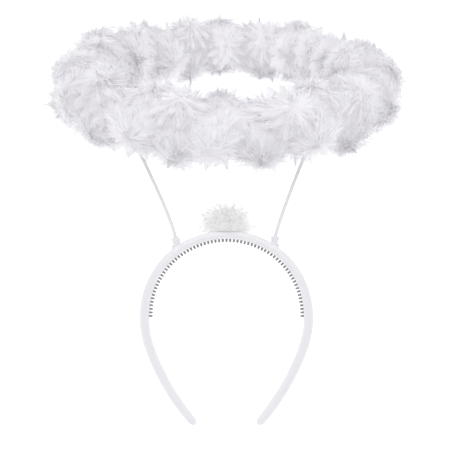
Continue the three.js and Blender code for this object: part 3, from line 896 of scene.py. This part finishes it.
# %% Pompom
POM_WIDTH, POM_HEIGHT, POM_DEPTH, POM_SETBACK = 36.5, 18.0, 23.0, 6.0
POM_BACKING, POM_LUMPS, POM_ROOT = 0.78, 0.02, 0.6  # in shares of the size
POM_CLEAR, BACKING_CLEAR = 0.35, 0.3
POM_WISPS, BARBS_PER_POM_WISP, SPIKE_EVERY = 760, 18, 12
POM_TURN, POM_PAST_SIDE, POM_SHORTENING = 2.4, 1.1, 0.34
POM_LIGHTWARD = [0, -1.2, 0]


def pom_point(turn, down, reach):
    """Point of the pompom: a turn about the vertical, an angle down from its top, and a
    share of its half width, half depth and height."""
    return np.stack([0.5 * POM_WIDTH * reach * np.sin(down) * np.sin(turn),
                     POM_SETBACK - 0.5 * POM_DEPTH * reach * np.sin(down) * np.cos(turn),
                     POM_HEIGHT * reach * np.cos(down)], axis=-1)


def off_the_band(points, clear):
    """Points closer to the crown arc's centre than the band's outer face are moved straight
    out to that face, plus a clearance."""
    centre = LINE_TOP - ARCS[0, 0]
    least = ARCS[0, 0] - LINE_TOP + clear
    away = np.maximum(least / np.hypot(points[..., 0], points[..., 2] - centre), 1)
    x, z = points[..., 0] * away, centre + (points[..., 2] - centre) * away
    return np.stack([x, points[..., 1], z], axis=-1)


def pom_backing():
    """The half ball under the fibres, as a tube from pole to pole, whose share of the size
    is the backing's plus lumps * sin(5 turn) * sin(4 down)."""
    down = np.linspace(0.02, 1.98, 40)[:, None] * 0.5 * math.pi
    turn = 2 * math.pi * np.arange(48)[None, :] / 48
    share = POM_BACKING + POM_LUMPS * np.sin(5 * turn) * np.sin(4 * down)
    return tube(off_the_band(pom_point(turn, down, share), BACKING_CLEAR))


def pom_barbs(wisp_count, count):
    """Curly fibres in wisps, which spread evenly over the ball: each is POM_TURN round from
    the one before, and cos(down) falls in even steps. Some wisps are spikes. The fibres run
    from within the ball to a place off the wisp's tip by what the length lacks."""
    number = np.arange(wisp_count)
    turn = POM_TURN * number
    down = np.arccos(1 - POM_PAST_SIDE * (number + 0.5) / wisp_count)
    spike = number % SPIKE_EVERY == 0
    share = rng.random(wisp_count)
    size = np.where(spike, 1.08 + 0.2 * share, 0.86 + 0.14 * share)
    turn, down, size, spike = (np.repeat(values, count) for values in (turn, down, size, spike))
    n = len(turn)
    length = 1 - POM_SHORTENING * rng.random(n) ** np.where(spike, 2.5, 1.0)
    spread = np.where(spike, 0.0, 0.02) + np.where(spike, 0.35, 0.7) * (1 - length)
    root = pom_point(turn + normal(n, 0.4), down + normal(n, 0.25), POM_ROOT)
    knee = pom_point(turn + normal(n, 0.3), down + normal(n, 0.2), 0.85 * size * length)
    tip = pom_point(turn + normal(n, spread), down + normal(n, spread), size * length)
    outside = pom_point(turn, down, 1.0) - [0, POM_SETBACK, 0]
    outside /= np.linalg.norm(outside, axis=1, keepdims=True)
    outside += POM_LIGHTWARD
    root, knee, tip = (off_the_band(points, POM_CLEAR) for points in (root, knee, tip))
    return barb_mesh(root, knee, tip, outside, rng.uniform(0.3, 0.6, n),
                     rng.uniform(-0.7, 0.7, n), size * length, rng.uniform(-1, 1, n))


grow("pompom_fibres", [pom_barbs(POM_WISPS, BARBS_PER_POM_WISP)], POM,
     ["pompom"])
points, faces = pom_backing()
new_piece("pompom_backing", lay_down(points), faces, POM_DOWN, ["pompom"])

# %% [markdown]
# ## Floor, light and camera
#
# The floor is nearly white, with a glow of its own that keeps it white under the halo.
# Light comes softly from all round, most of it from before and above the worn headband.
# Two large lamps on the viewer's side, left and right, model the fluff. The camera looks
# at the front of the worn headband, from high above the floor now that the headband lies
# on its back.

# %% Floor
FLOOR_WHITE, FLOOR_GLOW, FLOOR_HALF = 0.93, 0.45, 2.0


def floor():
    """A square on the ground."""
    mesh = bpy.data.meshes.new("floor")
    corners = [(x * FLOOR_HALF, y * FLOOR_HALF, 0)
               for x, y in ((-1, -1), (1, -1), (1, 1), (-1, 1))]
    mesh.from_pydata(corners, [], [(0, 1, 2, 3)])
    material, _, shader = new_material("pale floor")
    shader.inputs["Base Color"].default_value = (FLOOR_WHITE, FLOOR_WHITE, FLOOR_WHITE, 1)
    shader.inputs["Roughness"].default_value = 0.9
    shader.inputs["Specular IOR Level"].default_value = 0.1
    shader.inputs["Emission Color"].default_value = (1, 1, 1, 1)
    shader.inputs["Emission Strength"].default_value = FLOOR_GLOW
    mesh.materials.append(material)
    ground = bpy.data.objects.new("floor", mesh)
    bpy.context.scene.collection.objects.link(ground)
    print(f"floor: {2 * FLOOR_HALF:.0f} m wide")


floor()

# %% Light
BRIGHT_WAY, SKY_BEHIND, SKY_BEFORE = (0, -0.77, 0.64), 0.0, 0.8
LAMP_SIDE, LAMP_FRONT, LAMP_HEIGHT, LAMP_AIM = 850, -1080, 850, (0, 0, 20)
LEFT_WATTS, RIGHT_WATTS, LAMP_SIZE = 6.0, 5.5, 1.1


def aim(item, worn_from, worn_at):
    """Places an item at a worn point so that its -Z looks at another and its Y is upward in
    the worn frame. The columns of its turn are right, up and back."""
    start, end = lay_down(np.array([worn_from, worn_at], float))
    back = (start - end) / np.linalg.norm(start - end)
    right = np.cross(REST @ [0, 0, 1], back)
    right /= np.linalg.norm(right)
    matrix = np.eye(4)
    matrix[:3, :3] = np.column_stack([right, np.cross(back, right), back])
    matrix[:3, 3] = start
    item.matrix_world = Matrix(matrix.tolist())


def lamp(name, worn_from, worn_at, watts, size):
    """A square soft lamp, size metres wide, aimed at a worn point."""
    light = bpy.data.lights.new(name, "AREA")
    light.energy = watts
    light.size = size
    item = bpy.data.objects.new(name, light)
    bpy.context.scene.collection.objects.link(item)
    aim(item, worn_from, worn_at)


def sky(behind, before):
    """White light from all round. Its strength grows evenly from one behind the worn
    headband to another before and above it, with direction . bright way from -1 to 1."""
    world = bpy.data.worlds.new("studio")
    world.use_nodes = True
    tree = world.node_tree
    place, ahead = tree.nodes.new("ShaderNodeTexCoord"), tree.nodes.new("ShaderNodeVectorMath")
    strength = tree.nodes.new("ShaderNodeMapRange")
    ahead.operation = "DOT_PRODUCT"
    ahead.inputs[1].default_value = tuple(REST @ BRIGHT_WAY)
    strength.inputs["From Min"].default_value = -1.0
    strength.inputs["To Min"].default_value = behind
    strength.inputs["To Max"].default_value = before
    tree.nodes["Background"].inputs["Color"].default_value = (1, 1, 1, 1)
    link(tree, place.outputs["Generated"], ahead.inputs[0])
    link(tree, ahead.outputs["Value"], strength.inputs["Value"])
    link(tree, strength.outputs["Result"], tree.nodes["Background"].inputs["Strength"])
    bpy.context.scene.world = world


sky(SKY_BEHIND, SKY_BEFORE)
lamp("left lamp", (-LAMP_SIDE, LAMP_FRONT, LAMP_HEIGHT), LAMP_AIM, LEFT_WATTS, LAMP_SIZE)
lamp("right lamp", (LAMP_SIDE, LAMP_FRONT, LAMP_HEIGHT), LAMP_AIM, RIGHT_WATTS, LAMP_SIZE)
bpy.context.scene.view_settings.view_transform = "Standard"
print("lights:", ", ".join(light.name for light in bpy.data.lights))

# %% Camera
EYE, SENSOR, FOCAL_PIXELS, FRAME_PIXELS = (0, -719.0, 126.8), 36.0, 1018.0, 450.0
SHIFT_PIXELS = (-1.5, 5.5)
camera = bpy.data.cameras.new("camera")
camera.sensor_width = SENSOR
camera.lens = SENSOR * FOCAL_PIXELS / FRAME_PIXELS
camera.shift_x, camera.shift_y = (pixels / FRAME_PIXELS for pixels in SHIFT_PIXELS)
view = bpy.data.objects.new("camera", camera)
bpy.context.scene.collection.objects.link(view)
aim(view, EYE, (0, 0, 0))
bpy.context.scene.camera = view
print(f"camera: {camera.lens:.1f} mm lens")
